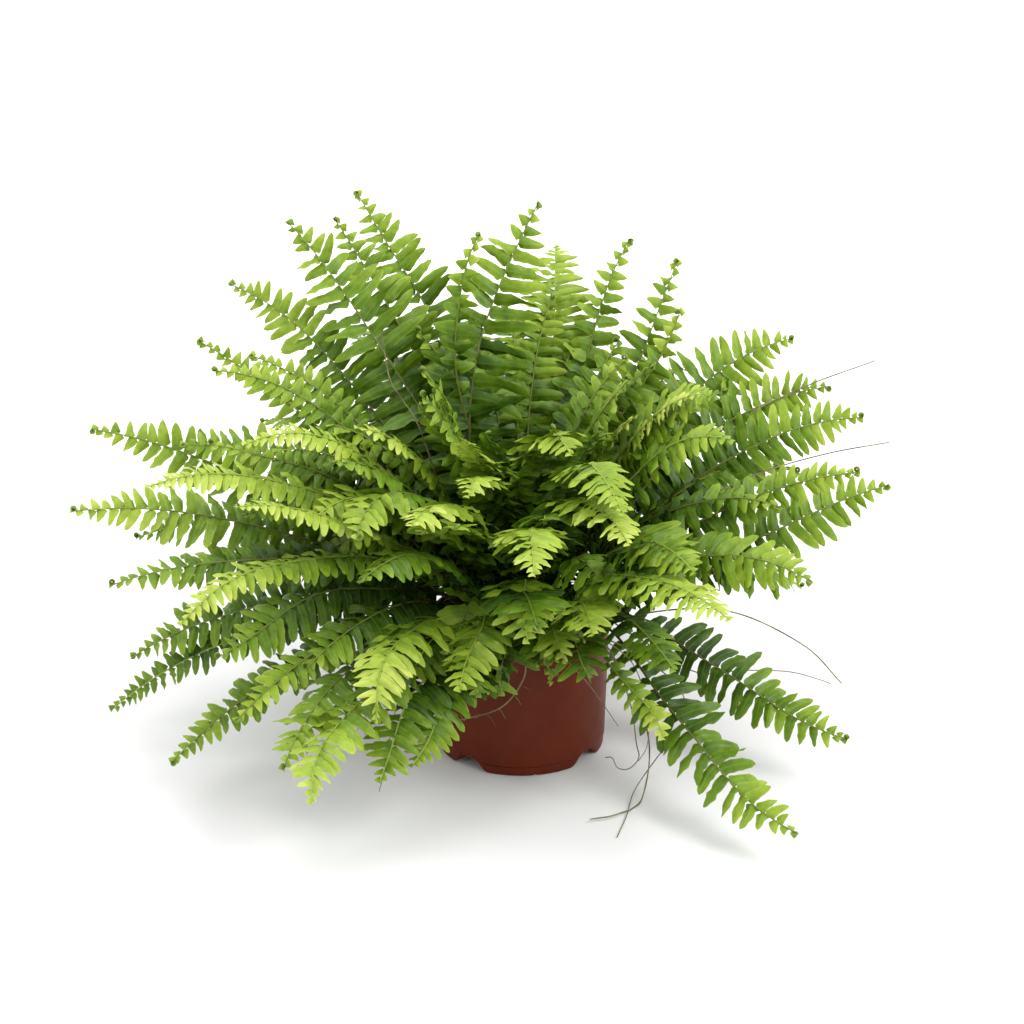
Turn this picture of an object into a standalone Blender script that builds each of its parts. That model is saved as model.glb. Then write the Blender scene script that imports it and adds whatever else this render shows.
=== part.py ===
"""Potted sword fern: a full Boston fern in a plain plastic nursery pot.

Metres, +Z up. The origin is the centre of the pot's base, on the surface it stands on;
+X is the plant's right and +Y its back. Lengths in the tables below are in millimetres.
Order of making: pot, soil, crown, the whorls of fronds, runners.
"""
import math

import bpy
import numpy as np

MM = 0.001
GAP = 0.3 * MM                      # left between pieces that touch

# Pot: injection-moulded, nearly straight wall, scalloped foot with four drain notches
POT_HEIGHT = 102 * MM
RIM_RADIUS = 65 * MM
WALL_FOOT_RADIUS = 62.5 * MM
WALL = 1.3 * MM
LIP = 0.9 * MM                      # how far the rolled lip stands out
LIP_HEIGHT = 3.5 * MM
FOOT_HEIGHT = 7.5 * MM
FOOT_STEP = 0.8 * MM                # the foot stands in from the wall
FOOT_WIDTH = 6 * MM
PAD_RADIUS = 24 * MM                # flat disc under the centre that the pot rests on too
NOTCH_DEPTH = 8 * MM
NOTCH_HEADINGS = (52, 142, 232, 322)
NOTCH_HALF_ANGLE = 4                # level part of a notch, to each side, in degrees
NOTCH_EASE = 11                     # degrees over which a notch runs out
DRAIN_RADIUS = 4.5 * MM
DRAIN_PLACE = 42 * MM               # distance of each drain hole from the axis
POT_SIDES = 72

# Potting mix and the crown of rhizome that the fronds spring from
SOIL_BELOW_RIM = 10 * MM
SOIL_DOME = 4 * MM
CROWN_RADIUS = 50 * MM
CROWN_HEIGHT = 13 * MM
CROWN_SIDES = 40

# Fronds: a thin blade on a rachis
RACHIS_DEPTH = 1.7 * MM
STATIONS = 20                       # cross-sections of one frond
BARE_STALK = 0.16                   # share of the length that carries no leaflets
TOOTH_CUT = 0.80                    # blade width between leaflets, as a share of its width
STALK_HALF_WIDTH = 0.9 * MM
CLEAR_SHARE = 0.46                  # share of the way to the next rachis that a blade may use
LOWEST = 3 * MM                     # nothing but the foot comes nearer the surface

# Whorls from the middle of the crown outwards, each with the radius its stalks stand at. A frond
# is: where its tip is, the point its bow is drawn towards, how far its upper face leans from the
# sky (0) to the front (1), and the width of its blade. A place is a heading in degrees from +X
# towards +Y, a distance from the axis and a height.
SILL = (70, 126)                    # hanging fronds first rise towards this, to clear the rim
WHORLS = (
    ("upright", 11, (
        ((30, 130, 350), (20, 80, 265), 0.9, 50),
        ((55, 140, 352), (50, 70, 290), 0.9, 44),
        ((80, 150, 338), (60, 75, 300), 0.8, 48),
        ((80, 72, 391), (180, 76, 235), 0.9, 76),
        ((127, 205, 375), (118, 90, 290), 1.0, 62),
        ((136, 192, 362), (136, 100, 300), 1.0, 60),
        ((149, 198, 368), (152, 120, 320), 1.0, 78),
        ((287, 112, 266), (255, 65, 300), 0.3, 58),
    )),
    ("inner", 21, (
        ((22, 215, 286), (22, 115, 275), 0.9, 60),
        ((48, 235, 205), (48, 118, 300), 0.0, 58),
        ((75, 245, 235), (75, 122, 310), 0.0, 60),
        ((100, 250, 215), (100, 125, 300), 0.0, 60),
        ((122, 250, 245), (122, 125, 300), 0.2, 58),
        ((155, 236, 322), (155, 118, 280), 1.0, 48),
        ((172, 232, 300), (172, 116, 240), 0.9, 28),
        ((203, 205, 262), (205, 110, 290), 0.3, 30),
        ((247, 182, 240), (240, 80, 255), 0.0, 36),
        ((272, 222, 228), (272, 120, 270), 0.0, 46),
        ((290, 192, 252), (290, 98, 328), 0.0, 40),
        ((334, 135, 292), (345, 65, 270), 0.3, 30),
    )),
    ("outer", 31, (
        ((5, 246, 246), (5, 135, 245), 0.8, 48),
        ((15, 234, 256), (20, 128, 262), 0.9, 50),
        ((62, 262, 150), (62, 144, 240), 0.0, 58),
        ((92, 266, 128), (92, 146, 235), 0.0, 58),
        ((116, 262, 160), (116, 144, 245), 0.0, 56),
        ((140, 262, 190), (140, 144, 250), 0.2, 54),
        ((163, 306, 124), (163, 168, 170), 0.4, 44),
        ((175, 311, 235), (175, 170, 212), 0.8, 50),
        ((189, 317, 202), (189, 175, 202), 0.6, 48),
        ((198, 296, 164), (198, 160, 200), 0.4, 44),
        ((206, 276, 248), (196, 150, 265), 0.3, 32),
        ((218, 236, 244), (218, 130, 226), 0.1, 38),
        ((301, 256, 196), (301, 140, 222), 0.0, 46),
        ((328, 230, 180), (328, 125, 205), 0.5, 50),
        ((345, 240, 236), (345, 132, 212), 0.6, 36),
        ((358, 262, 206), (358, 143, 152), 0.7, 50),
    )),
    ("hanging", 41, (
        ((28, 248, 72), (28, 183, 124), 0.2, 52),
        ((72, 246, 60), (72, 183, 127), 0.0, 56),
        ((106, 250, 52), (106, 187, 117), 0.0, 56),
        ((146, 256, 70), (146, 192, 130), 0.2, 54),
        ((180, 286, 66), (180, 214, 115), 0.5, 46),
        ((178, 306, 17), (181, 229, 91), 0.6, 30),
        ((204, 268, 36), (204, 200, 95), 0.4, 34),
        ((232, 254, 80), (228, 208, 125), 0.2, 50),
        ((241, 278, 78), (236, 229, 126), 0.0, 50),
        ((244, 218, 112), (239, 183, 187), 0.0, 56),
        ((256, 128, 95), (254, 103, 158), 0.0, 50),
        ((247, 188, 68), (247, 140, 99), 0.2, 40),
        ((285, 180, 165), (285, 135, 190), 0.0, 46),
        ((302, 192, 134), (302, 145, 172), 0.0, 54),
        ((313, 270, 30), (313, 130, 70), 0.6, 52),
        ((340, 246, 42), (340, 165, 66), 0.6, 46),
    )),
)

# Runners: thin bare stems from the crown's edge, some held out on the air and some trailing on
# the surface. Each has the heading it leaves the crown at, and a hand-set route of (x, y, z)
# points in millimetres.
RUNNER_RADIUS = 0.7 * MM
RUNNER_RING = 46 * MM
RUNNER_SIDES = 6
RUNNER_POINTS = 20
RUNNERS = (
    (17, ((95, 30, 186), (150, 45, 230), (205, 52, 258), (258, 60, 276))),
    (354, ((68, -5, 138), (110, -11, 183), (165, -12, 214), (215, -6, 228), (262, 0, 235))),
    (332, ((98, -46, 124), (150, -52, 126), (200, -60, 104), (228, -64, 76))),
    (307, ((54, -62, 110), (88, -92, 56), (86, -100, 4), (68, -122, 3), (48, -130, 3))),
    (286, ((4, -68, 105), (2, -72, 84), (-14, -74, 62), (-46, -72, 50))),
)


def material(name, rgb, roughness, metallic=0.0):
    """A plain Principled material."""
    mat = bpy.data.materials.new(name)
    mat.use_nodes = True
    shader = mat.node_tree.nodes["Principled BSDF"]
    shader.inputs["Base Color"].default_value = (*rgb, 1.0)
    shader.inputs["Roughness"].default_value = roughness
    shader.inputs["Metallic"].default_value = metallic
    mat.diffuse_color = (*rgb, 1.0)
    return mat


def add_object(name, verts, faces, mat):
    """One named object from points and faces that are listed to face outwards."""
    mesh = bpy.data.meshes.new(name)
    mesh.from_pydata([tuple(v) for v in verts], [], faces)
    mesh.shade_smooth()
    mesh.set_sharp_from_angle(angle=math.radians(40))
    mesh.materials.append(mat)
    obj = bpy.data.objects.new(name, mesh)
    bpy.context.collection.objects.link(obj)
    return obj


def ease(t):
    """Smooth step from 0 to 1."""
    t = np.clip(t, 0.0, 1.0)
    return t * t * (3.0 - 2.0 * t)


def polar(angle_deg, radius, z):
    """Point at a heading and a distance from the axis."""
    a = math.radians(angle_deg)
    return np.array((radius * math.cos(a), radius * math.sin(a), z))


def unit(v):
    """Vectors scaled to length 1."""
    return v / np.linalg.norm(v, axis=-1, keepdims=True)


def lathe_faces(rings, sides):
    """Outward faces of a body turned about Z: its lower pole, rings of points from there round
    the outside, and its other pole."""
    faces = [(0, 1 + (k + 1) % sides, 1 + k) for k in range(sides)]
    for i in range(rings - 1):
        for k in range(sides):
            a = 1 + i * sides + k
            b = 1 + i * sides + (k + 1) % sides
            faces.append((a, b, b + sides, a + sides))
    last = 1 + rings * sides
    start = last - sides
    faces += [(last, start + k, start + (k + 1) % sides) for k in range(sides)]
    return faces


def notch(heading_deg):
    """How far the foot is cut away at a heading: 0 on a foot, 1 in a drain notch."""
    off = min(abs((heading_deg - n + 180) % 360 - 180) for n in NOTCH_HEADINGS)
    return 1.0 - float(ease((off - NOTCH_HALF_ANGLE) / NOTCH_EASE))


def wall_radius(z):
    """Outer radius of the pot's plain wall at a height."""
    t = (z - FOOT_HEIGHT) / (POT_HEIGHT - FOOT_HEIGHT)
    return WALL_FOOT_RADIUS + (RIM_RADIUS - WALL_FOOT_RADIUS) * t


def pot_profile(cut):
    """Half-section (r, z) from the centre underneath, up outside, over the lip, and down
    inside to the centre of the floor. cut lifts the foot and the floor into a drain notch."""
    lift = NOTCH_DEPTH * cut
    foot = WALL_FOOT_RADIUS - FOOT_STEP
    lip = RIM_RADIUS + LIP
    under = [(PAD_RADIUS * 0.5, 0.0), (PAD_RADIUS, 0.0), (PAD_RADIUS + 5 * MM, lift * 0.96),
             (foot - FOOT_WIDTH, lift), (foot - 1.2 * MM, lift), (foot, lift + 1.2 * MM)]
    shoulder = FOOT_HEIGHT + lift * 0.45
    outside = [(foot, shoulder), (wall_radius(shoulder), shoulder + 0.6 * MM),
               (wall_radius(0.4 * POT_HEIGHT), 0.4 * POT_HEIGHT),
               (wall_radius(POT_HEIGHT - 2 * LIP_HEIGHT), POT_HEIGHT - 2 * LIP_HEIGHT),
               (wall_radius(POT_HEIGHT - LIP_HEIGHT), POT_HEIGHT - LIP_HEIGHT),
               (lip, POT_HEIGHT - LIP_HEIGHT + 0.6 * MM), (lip, POT_HEIGHT - 0.6 * MM),
               (lip - 0.6 * MM, POT_HEIGHT)]
    floor = lift + WALL
    inside = [(RIM_RADIUS - WALL, POT_HEIGHT), (RIM_RADIUS - WALL - 0.4 * MM, POT_HEIGHT - LIP_HEIGHT),
              (wall_radius(0.4 * POT_HEIGHT) - WALL, 0.4 * POT_HEIGHT),
              (wall_radius(shoulder) - WALL - 1 * MM, shoulder + 2 * MM),
              (foot - WALL - 2 * MM, floor), (foot - FOOT_WIDTH, floor),
              (PAD_RADIUS + 5 * MM, lift * 0.96 + WALL), (PAD_RADIUS, WALL), (PAD_RADIUS * 0.5, WALL)]
    return under + outside + inside


def make_pot():
    """Pot as one moulded shell, with a round drain hole through the roof of each notch."""
    headings = np.arange(POT_SIDES) * 360.0 / POT_SIDES
    sections = [pot_profile(notch(h)) for h in headings]
    rings = len(sections[0])
    verts = [(0.0, 0.0, 0.0)]
    for i in range(rings):
        verts += [polar(h, *section[i]) for h, section in zip(headings, sections)]
    verts.append((0.0, 0.0, WALL))
    pot = add_object("pot", verts, lathe_faces(rings, POT_SIDES), CLAY_PLASTIC)
    for i, heading in enumerate(NOTCH_HEADINGS):
        bpy.ops.mesh.primitive_cylinder_add(vertices=16, radius=DRAIN_RADIUS, depth=12 * MM,
                                            location=polar(heading, DRAIN_PLACE, NOTCH_DEPTH))
        drill = bpy.context.object
        drill.name = f"drill_{i + 1}"
        drill.hide_render = True
        drill.display_type = "WIRE"
        hole = pot.modifiers.new(f"drain_{i + 1}", "BOOLEAN")
        hole.operation = "DIFFERENCE"
        hole.object = drill


def soil_top(radius):
    """Height of the potting mix, slightly domed."""
    edge = POT_HEIGHT - SOIL_BELOW_RIM
    return edge + SOIL_DOME * (1.0 - (radius / RIM_RADIUS) ** 2)


def make_soil():
    """Root ball: fills the pot to just below the rim, clear of the wall, floor and notches."""
    sides = 48
    side_gap = WALL + 3 * GAP
    bottom = NOTCH_DEPTH + WALL + 1.5 * MM
    edge = POT_HEIGHT - SOIL_BELOW_RIM
    section = [(0.5 * RIM_RADIUS, bottom), (WALL_FOOT_RADIUS - 14 * MM, bottom),
               (wall_radius(0.2 * POT_HEIGHT) - side_gap - 1.5 * MM, 0.2 * POT_HEIGHT),
               (wall_radius(0.4 * POT_HEIGHT) - side_gap, 0.4 * POT_HEIGHT),
               (wall_radius(edge) - side_gap - 0.6 * MM, soil_top(RIM_RADIUS - 3 * MM)),
               (0.8 * RIM_RADIUS, soil_top(0.8 * RIM_RADIUS)),
               (0.5 * RIM_RADIUS, soil_top(0.5 * RIM_RADIUS))]
    verts = [(0.0, 0.0, bottom)]
    for radius, z in section:
        verts += [polar(k * 360.0 / sides, radius, z) for k in range(sides)]
    verts.append((0.0, 0.0, soil_top(0.0)))
    add_object("potting_mix", verts, lathe_faces(len(section), sides), PEAT)


def crown_top(radius):
    """Height of the crown's top surface at a distance from the axis."""
    return soil_top(radius) + GAP + CROWN_HEIGHT * max(0.0, 1.0 - (radius / CROWN_RADIUS) ** 2)


def make_crown():
    """Crown: a low woody mound of old stalk bases that lies on the potting mix."""
    rims = (0.25, 0.5, 0.75, 0.95)
    section = [(s * CROWN_RADIUS, soil_top(s * CROWN_RADIUS) + GAP) for s in rims[1:]]
    section += [(s * CROWN_RADIUS, crown_top(s * CROWN_RADIUS)) for s in reversed(rims)]
    verts = [(0.0, 0.0, soil_top(0.0) + GAP)]
    for radius, z in section:
        verts += [polar(k * 360.0 / CROWN_SIDES, radius, z) for k in range(CROWN_SIDES)]
    verts.append((0.0, 0.0, crown_top(0.0)))
    add_object("crown", verts, lathe_faces(len(section), CROWN_SIDES), RHIZOME)


def bow(start, rise, draw, tip, count):
    """Points evenly spaced along a cubic curve from start to tip with handles rise and draw."""
    t = np.linspace(0.0, 1.0, 200)[:, None]
    u = 1.0 - t
    return spaced(u ** 3 * start + 3 * u * u * t * rise + 3 * u * t * t * draw + t ** 3 * tip, count)


def spaced(points, count):
    """The same line with its points evenly spaced."""
    run = np.concatenate(([0.0], np.cumsum(np.linalg.norm(np.diff(points, axis=0), axis=1))))
    want = np.linspace(0.0, run[-1], count)
    return np.column_stack([np.interp(want, run, points[:, k]) for k in range(3)])


def frond_list():
    """Every frond, whorl by whorl: (start, rise, draw, tip), facing and blade width, in metres.
    A stalk starts clear of the crown by the gap and by what its own slope brings down."""
    fronds = []
    for whorl, ring, members in WHORLS:
        first_heading = members[0][0][0]
        for i, (tip, pull, facing, width) in enumerate(members):
            seat = first_heading + i * 360.0 / len(members)
            start = polar(seat, ring * MM, crown_top(ring * MM))
            pull_point = polar(pull[0], pull[1] * MM, pull[2] * MM)
            tip_point = polar(tip[0], tip[1] * MM, tip[2] * MM)
            rise = start + (pull_point - start) * 2 / 3
            draw = tip_point + (pull_point - tip_point) * 2 / 3
            if whorl == "hanging":
                way = unit(unit(start[:2]) + unit(pull_point[:2]))
                rise = np.array((*(way * SILL[0] * MM), SILL[1] * MM))
                draw = pull_point
            slope = np.linalg.norm(unit(rise - start)[:2])
            start[2] += GAP + 0.5 * RACHIS_DEPTH * slope
            fronds.append(((start, rise, draw, tip_point), facing, width * MM))
    return fronds


def blade_frame(points, facing):
    """Across and up directions at each point. The upper face looks at the sky, and at the
    plant's axis where the frond stands upright, and leans to the front by its facing."""
    along = unit(np.gradient(points, axis=0))
    outward = unit((points[-1] - points[0]) * (1.0, 1.0, 0.0))
    sky = np.array((0.0, 0.0, 1.0)) - 0.6 * outward
    wish = (1.0 - facing) * sky + facing * np.array((0.0, -1.0, 0.25))
    up = unit(wish - along * (along @ wish)[:, None])
    return np.cross(along, up), up


def blade_outline(width):
    """Half-width at each station: a bare stalk, then a long lance shape cut into teeth."""
    s = np.linspace(0.0, 1.0, STATIONS)
    t = np.clip((s - BARE_STALK) / (1.0 - BARE_STALK), 0.0, 1.0)
    lance = 0.5 * width * ease(t / 0.22) * (1.0 - ease((t - 0.35) / 0.65)) ** 0.6
    teeth = np.where(np.arange(STATIONS) % 2, 1.0, TOOTH_CUT)
    return np.maximum(lance * teeth, STALK_HALF_WIDTH)


def tube_faces(rings, sides):
    """Outward faces of a capped tube of rings, each listed clockwise seen from its start."""
    faces = [tuple(reversed(range(sides)))]
    for k in range(rings - 1):
        for j in range(sides):
            a = sides * k + j
            b = sides * k + (j + 1) % sides
            faces += [(a, b, b + sides), (a, b + sides, a + sides)]
    end = sides * (rings - 1)
    faces.append(tuple(range(end, end + sides)))
    return faces


def make_fronds():
    """One closed blade for each frond, kept clear of the rachis of every other and of the
    runners."""
    fronds = frond_list()
    lines = [bow(*frond[0], 200) for frond in fronds] + [runner_line(*r, 200) for r in RUNNERS]
    for i, (curve, facing, width) in enumerate(fronds):
        points = bow(*curve, STATIONS)
        others = np.concatenate([line for k, line in enumerate(lines) if k != i])
        room = np.linalg.norm(lines[i][:, None] - others[None], axis=2).min(axis=1)
        spots = np.linspace(0.0, 1.0, len(room)) * (STATIONS - 1)
        clear = np.array([room[np.abs(spots - k) <= 1.0].min() for k in range(STATIONS)])
        half = np.minimum(blade_outline(width), CLEAR_SHARE * clear)[:, None]
        across, up = blade_frame(points, facing)
        depth = np.minimum(0.5 * RACHIS_DEPTH * np.linspace(1.0, 0.5, STATIONS)[:, None], 0.9 * half)
        rings = np.stack((points - across * half, points + up * depth,
                          points + across * half, points - up * depth), axis=1)
        rings[..., 2] = np.maximum(rings[..., 2], LOWEST)
        add_object(f"frond_{i + 1:02d}", rings.reshape(-1, 3), tube_faces(STATIONS, 4), LEAF)


def runner_line(heading, route, count):
    """Evenly spaced points from the crown's edge along a runner: a Catmull-Rom spline that lies on
    the surface where it would dip below it."""
    start = polar(heading, RUNNER_RING, crown_top(RUNNER_RING) + GAP + RUNNER_RADIUS)
    knots = np.vstack((start, np.array(route, dtype=float) * MM))
    knots = np.vstack((2 * knots[0] - knots[1], knots, 2 * knots[-1] - knots[-2]))
    t = np.linspace(0.0, 1.0, 40, endpoint=False)[:, None]
    spans = []
    for k in range(len(knots) - 3):
        p0, p1, p2, p3 = knots[k:k + 4]
        spans.append(p1 + 0.5 * t * (p2 - p0 + t * (2 * p0 - 5 * p1 + 4 * p2 - p3
                                                    + t * (3 * (p1 - p2) + p3 - p0))))
    spans.append(knots[-2:-1])
    line = np.vstack(spans)
    line[:, 2] = np.maximum(line[:, 2], RUNNER_RADIUS + GAP)
    return spaced(line, count)


def make_runners():
    """Each runner as a thin capped stem along its route."""
    turn = np.arange(RUNNER_SIDES) * 2 * math.pi / RUNNER_SIDES
    for i, (heading, route) in enumerate(RUNNERS):
        points = runner_line(heading, route, RUNNER_POINTS)
        across, up = blade_frame(points, 0.0)
        rings = (points[:, None] - RUNNER_RADIUS * (np.cos(turn)[None, :, None] * across[:, None]
                                                    - np.sin(turn)[None, :, None] * up[:, None]))
        verts = rings.reshape(-1, 3)
        add_object(f"runner_{i + 1}", verts, tube_faces(RUNNER_POINTS, RUNNER_SIDES), STEM)


for old in list(bpy.data.objects):
    bpy.data.objects.remove(old, do_unlink=True)

CLAY_PLASTIC = material("terracotta_plastic", (0.155, 0.036, 0.016), 0.42)
PEAT = material("potting_mix", (0.020, 0.011, 0.006), 0.95)
RHIZOME = material("rhizome", (0.090, 0.055, 0.022), 0.85)
LEAF = material("fern_leaf", (0.190, 0.330, 0.050), 0.48)
STEM = material("runner_stem", (0.330, 0.300, 0.140), 0.70)

make_pot()
make_soil()
make_crown()
make_fronds()
make_runners()
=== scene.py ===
"""Potted Boston fern: how it looks.

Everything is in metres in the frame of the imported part: origin under the middle of the pot, +Z up,
+X to the plant's right and +Y to its back. The sections follow the plant as it is potted: pot,
potting mix, crown, fronds, runners, and last the table it stands on.
"""
import math

import bpy
import numpy as np
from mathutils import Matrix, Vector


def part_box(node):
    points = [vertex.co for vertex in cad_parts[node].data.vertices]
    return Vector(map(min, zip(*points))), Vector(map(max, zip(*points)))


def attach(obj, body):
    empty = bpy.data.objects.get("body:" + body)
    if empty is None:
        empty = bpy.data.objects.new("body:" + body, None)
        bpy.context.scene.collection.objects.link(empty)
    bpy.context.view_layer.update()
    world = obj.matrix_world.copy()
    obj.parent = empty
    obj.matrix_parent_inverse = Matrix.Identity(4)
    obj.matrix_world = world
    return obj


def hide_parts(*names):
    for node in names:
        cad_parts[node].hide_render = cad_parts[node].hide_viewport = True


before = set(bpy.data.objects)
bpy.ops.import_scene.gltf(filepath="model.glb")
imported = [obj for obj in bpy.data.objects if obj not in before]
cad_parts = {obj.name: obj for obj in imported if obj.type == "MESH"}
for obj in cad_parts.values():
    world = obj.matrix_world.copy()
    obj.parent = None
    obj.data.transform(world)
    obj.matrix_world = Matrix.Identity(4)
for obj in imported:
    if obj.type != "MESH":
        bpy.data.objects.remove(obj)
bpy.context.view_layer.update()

# ---------------------------------------------------------------------------------------------
# Nursery pot. One moulded shell of terracotta-coloured polypropylene: a nearly straight wall
# with a small rolled lip, and a foot cut away by four drain notches. Satin, a little scuffed.
# ---------------------------------------------------------------------------------------------
MM = 0.001
pot_low, pot_high = (np.array(c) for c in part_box("pot"))
POT_HEIGHT = pot_high[2]
LIP = 0.9 * MM
LIP_RADIUS = 0.5 * (pot_high[0] - pot_low[0])
RIM_RADIUS = LIP_RADIUS - LIP
LIP_HEIGHT = 3.5 * MM
WALL_FOOT_RADIUS = 62.5 * MM
WALL = 1.3 * MM
FOOT_HEIGHT = 7.5 * MM
FOOT_STEP = 0.8 * MM
FOOT_WIDTH = 6 * MM
PAD_RADIUS = 24 * MM
NOTCH_DEPTH = 8 * MM
NOTCH_HEADINGS = (52, 142, 232, 322)
NOTCH_HALF_ANGLE = 4
NOTCH_EASE = 11
DRAIN_RADIUS = 4.5 * MM
DRAIN_PLACE = 42 * MM
NICK_HEADING = 280
NICK_HALF_ANGLE = 1.6
NICK_DEPTH = 1.8 * MM
GROOVE = 0.5 * MM
POT_SIDES = 360


def linear(code):
    """Linear colour of an sRGB hex code such as "7a9c35"."""
    s = np.array([int(code[k:k + 2], 16) for k in (0, 2, 4)]) / 255.0
    return tuple(np.where(s <= 0.04045, s / 12.92, ((s + 0.055) / 1.055) ** 2.4)) + (1.0,)


def add_node(tree, kind, settings=None, **links):
    """A node of a kind, its settings by name, its inputs by socket name: a value, or a socket
    to link. A socket name's spaces are written as underscores."""
    node = tree.nodes.new("ShaderNode" + kind)
    for key, value in (settings or {}).items():
        setattr(node, key, value)
    for key, value in links.items():
        key = int(key[1:]) if key[0] == "_" else key.replace("_", " ")
        if isinstance(value, bpy.types.NodeSocket):
            tree.links.new(value, node.inputs[key])
        else:
            node.inputs[key].default_value = value
    return node


def new_material(name):
    """An empty node material: its tree, and a Principled node joined to the output."""
    mat = bpy.data.materials.new(name)
    mat.use_nodes = True
    mat.node_tree.nodes.clear()
    skin = add_node(mat.node_tree, "BsdfPrincipled")
    add_node(mat.node_tree, "OutputMaterial", Surface=skin.outputs[0])
    return mat, mat.node_tree, skin


def colour_ramp(tree, factor, stops):
    """A colour ramp on factor through (position, sRGB hex) stops."""
    ramp = add_node(tree, "ValToRGB", Fac=factor)
    while len(ramp.color_ramp.elements) < len(stops):
        ramp.color_ramp.elements.new(0.5)
    for element, (place, code) in zip(ramp.color_ramp.elements, stops):
        element.position = place
        element.color = linear(code)
    return ramp.outputs["Color"]


def add_piece(name, verts, faces, material, stands_for=(), values=None, sharp=60):
    """A mesh piece on the root body. values holds named numbers for each vertex."""
    mesh = bpy.data.meshes.new(name)
    mesh.from_pydata(np.asarray(verts).reshape(-1, 3), [], faces)
    for key, numbers in (values or {}).items():
        field = mesh.attributes.new(key, "FLOAT", "POINT")
        field.data.foreach_set("value", np.asarray(numbers, dtype=np.float32).ravel())
    mesh.shade_smooth()
    mesh.set_sharp_from_angle(angle=math.radians(sharp))
    mesh.materials.append(material)
    piece = bpy.data.objects.new(name, mesh)
    bpy.context.scene.collection.objects.link(piece)
    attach(piece, "root")
    if stands_for:
        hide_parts(*stands_for)
    return piece


def grid_faces(rows, cols, wrap=False):
    """Quads of a rows x cols grid of points, facing the side from which rows run away and
    columns run to the left. With wrap the last column joins the first."""
    i, j = np.meshgrid(np.arange(rows - 1), np.arange(cols if wrap else cols - 1), indexing="ij")
    right = (j + 1) % cols
    return np.stack((i * cols + j, i * cols + right, (i + 1) * cols + right,
                     (i + 1) * cols + j), axis=-1).reshape(-1, 4)


def ease(t):
    """Smooth step from 0 to 1."""
    t = np.clip(t, 0.0, 1.0)
    return t * t * (3.0 - 2.0 * t)


def capped(rows, sides):
    """Faces of a turned or piped body whose first and last rows close in a fan."""
    faces = grid_faces(rows, sides, wrap=True).tolist()
    first = rows * sides
    ring = np.arange(sides)
    faces += [(first, (k + 1) % sides, k) for k in ring]
    start = (rows - 1) * sides
    faces += [(first + 1, start + k, start + (k + 1) % sides) for k in ring]
    return faces


def arc(centre, radius, start, end, count):
    """Points (r, z) on an arc in the half-section, angles in degrees from +r towards +z."""
    a = np.radians(np.linspace(start, end, count))
    return np.column_stack((centre[0] + radius * np.cos(a), centre[1] + radius * np.sin(a)))


def pot_section(cut, nick):
    """Half-section of the pot as (r, z) points from under the centre, round the outside, over
    the lip and down to the floor's centre. cut is 0 on a foot and 1 in a drain notch: it lifts
    the foot's edge and fades the groove above it. nick is 1 in the small moulding nick."""
    lift = NOTCH_DEPTH * cut + NICK_DEPTH * nick
    foot = WALL_FOOT_RADIUS - FOOT_STEP
    step = FOOT_HEIGHT + NOTCH_DEPTH * cut * 0.55
    groove = GROOVE * (1.0 - cut)

    def wall(z):
        """Outer radius of the wall at a height."""
        return WALL_FOOT_RADIUS + (RIM_RADIUS - WALL_FOOT_RADIUS) * (z - step) / (POT_HEIGHT - step)

    ramp = np.linspace(0.0, 1.0, 6)[:, None]
    channel = np.hstack((PAD_RADIUS + 6 * MM * ramp, lift * ease(ramp)))
    climb = np.linspace(step + 1.6 * MM, POT_HEIGHT - 1.25 * LIP_HEIGHT, 22)
    outside = np.column_stack((wall(climb), climb))
    lip = RIM_RADIUS + LIP
    return np.vstack((
        [(PAD_RADIUS * 0.5, 0.0)], channel, [(foot - FOOT_WIDTH, lift)],
        arc((foot - 1.6 * MM, lift + 1.6 * MM), 1.6 * MM, -90, 0, 6),
        [(foot, step - 1.0 * MM), (foot - groove, step - 0.5 * MM), (foot - groove, step),
         (wall(step) - 0.25 * MM, step + 0.25 * MM), (wall(step), step + 0.7 * MM)],
        outside,
        arc((lip - 0.9 * MM, POT_HEIGHT - LIP_HEIGHT + 0.7 * MM), 0.9 * MM, -60, 0, 4),
        arc((lip - 1.0 * MM, POT_HEIGHT - 1.0 * MM), 1.0 * MM, 0, 90, 6),
        [(RIM_RADIUS - WALL, POT_HEIGHT - 0.1 * MM), (RIM_RADIUS - WALL - 0.4 * MM, POT_HEIGHT - LIP_HEIGHT)],
        [(wall(0.5 * POT_HEIGHT) - WALL, 0.5 * POT_HEIGHT), (wall(step) - WALL - 1 * MM, step + 2 * MM),
         (foot - WALL - 2 * MM, lift + WALL), (foot - FOOT_WIDTH, lift + WALL)],
        channel[::-1] + (0.0, WALL), [(PAD_RADIUS * 0.5, WALL)]))


headings = np.arange(POT_SIDES) * 360.0 / POT_SIDES
off_notch = np.abs((headings[:, None] - np.array(NOTCH_HEADINGS) + 180) % 360 - 180).min(axis=1)
cuts = 1.0 - ease((off_notch - NOTCH_HALF_ANGLE) / NOTCH_EASE)
nicks = 1.0 - ease(np.abs(headings - NICK_HEADING) / NICK_HALF_ANGLE)
sections = np.array([pot_section(cut, nick) for cut, nick in zip(cuts, nicks)])
radius, height = sections[..., 0].T, sections[..., 1].T
angle = np.radians(headings)[None, :]
pot_points = np.stack((radius * np.cos(angle), radius * np.sin(angle), height), axis=-1).reshape(-1, 3)
pot_points = np.vstack((pot_points, (0, 0, 0), (0, 0, WALL)))

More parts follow.
